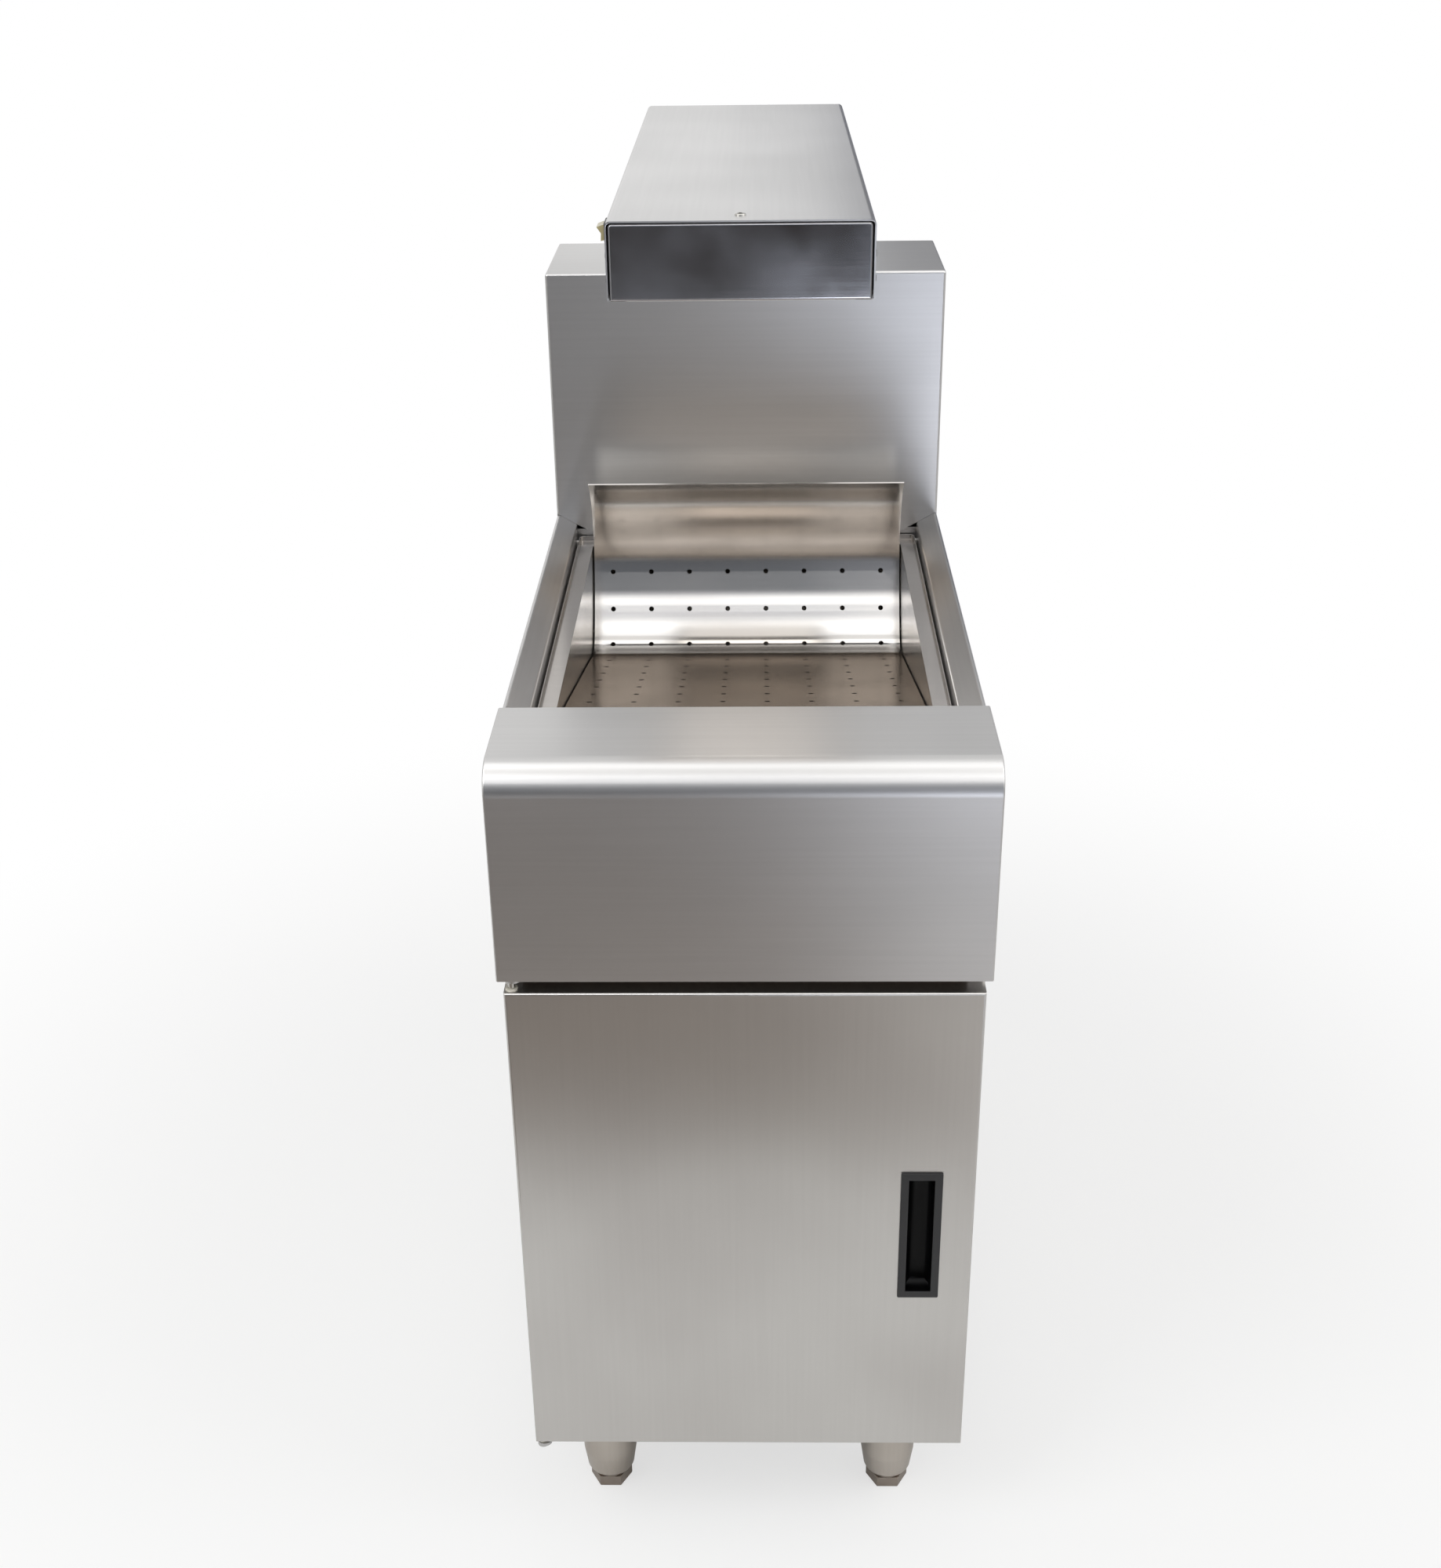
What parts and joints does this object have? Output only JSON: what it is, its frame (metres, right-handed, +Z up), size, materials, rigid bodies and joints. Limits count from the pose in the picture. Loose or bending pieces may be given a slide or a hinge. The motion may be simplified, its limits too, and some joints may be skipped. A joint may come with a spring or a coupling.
{
  "type": "french fry dump station",
  "caption": "Free-standing stainless dump station for fried food: hinged cabinet, drop-in pan with perforated curled scoop, backsplash box and overhead infrared lamp.",
  "frame": {"origin": "on the floor, under the middle of the station's outline", "axes": "+Z up, front of the station faces -Y, +X to the right when it is seen from the front"},
  "size_m": [0.394, 0.752, 1.1716],
  "materials": {
    "satin_stainless": "satin",
    "polished_stainless": "polished",
    "mill_stainless": "mill",
    "steel_hardware": "bright",
    "leg_steel": "satin",
    "foot_steel": "satin",
    "cap_stainless": "polished",
    "bright_aluminium": "polished",
    "element_sheath": "oxidised",
    "zinc_steel": "plated",
    "black_plastic": "matte",
    "ivory_plastic": "gloss",
    "nylon": "matte",
    "ceramic": "glazed"
  },
  "bodies": {
    "cabinet": {"back_panel": "mill_stainless", "backsplash_rear_cover": "mill_stainless", "backsplash_shell": "satin_stainless", "base_tray": "mill_stainless", "bottom_hinge_pin": "steel_hardware", "bottom_hinge_plate": "mill_stainless", "cable_gland": "black_plastic", "catch_magnet": "black_plastic", "column_screws": "steel_hardware", "deck": "satin_stainless", "element_brackets": "zinc_steel", "front_crossbar": "mill_stainless", "front_hood": "satin_stainless", "gland_nut": "black_plastic", "heating_element": "element_sheath", "hood_screws": "steel_hardware", "lamp_column": "satin_stainless", "lamp_front_cap": "cap_stainless", "lamp_plate": "mill_stainless", "lamp_rear_cap": "cap_stainless", "lamp_reflector": "bright_aluminium", "lamp_screws": "steel_hardware", "lamp_shell": "satin_stainless", "leg_bolts": "steel_hardware", "leg_front_left": "leg_steel", "leg_front_right": "leg_steel", "leg_plates": "mill_stainless", "leg_rear_left": "leg_steel", "leg_rear_right": "leg_steel", "rear_screws": "steel_hardware", "side_panel_left": "satin_stainless", "side_panel_right": "satin_stainless", "switch_body": "black_plastic", "terminal_block": "ceramic", "top_hinge_pin": "steel_hardware", "top_hinge_plate": "mill_stainless", "wire_guard": "steel_hardware"},
    "door": {"door_skin": "satin_stainless", "door_liner": "mill_stainless", "door_bushes": "nylon", "handle_cup": "black_plastic", "strike_plate": "steel_hardware"},
    "pan": {"dump_pan": "satin_stainless"},
    "scoop": {"scoop_insert": "polished_stainless"},
    "rocker": {"switch_rocker": "ivory_plastic"},
    "foot_front_left": {"foot_front_left": "foot_steel"},
    "foot_front_right": {"foot_front_right": "foot_steel"},
    "foot_rear_left": {"foot_rear_left": "foot_steel"},
    "foot_rear_right": {"foot_rear_right": "foot_steel"}
  },
  "joints": [
    {"name": "door_hinge", "type": "hinge", "parent": "cabinet", "child": "door", "pos_m": [-0.186, -0.366, 0.3538], "axis": [0, 0, -1], "range_deg": [0, 120]},
    {"name": "pan_lift", "type": "slide", "parent": "cabinet", "child": "pan", "axis": [0, 0, 1], "range_m": [0, 0.135]},
    {"name": "scoop_lift", "type": "slide", "parent": "pan", "child": "scoop", "axis": [0, 0, 1], "range_m": [0, 0.115]},
    {"name": "rocker_tilt", "type": "hinge", "parent": "cabinet", "child": "rocker", "pos_m": [-0.1005, -0.212, 1.1566], "axis": [0, 1, 0], "range_deg": [0, 32]},
    {"name": "foot_front_left_thread", "type": "slide", "parent": "cabinet", "child": "foot_front_left", "axis": [0, 0, -1], "range_m": [0, 0.02]},
    {"name": "foot_front_right_thread", "type": "slide", "parent": "cabinet", "child": "foot_front_right", "axis": [0, 0, -1], "range_m": [0, 0.02]},
    {"name": "foot_rear_left_thread", "type": "slide", "parent": "cabinet", "child": "foot_rear_left", "axis": [0, 0, -1], "range_m": [0, 0.02]},
    {"name": "foot_rear_right_thread", "type": "slide", "parent": "cabinet", "child": "foot_rear_right", "axis": [0, 0, -1], "range_m": [0, 0.02]}
  ]
}
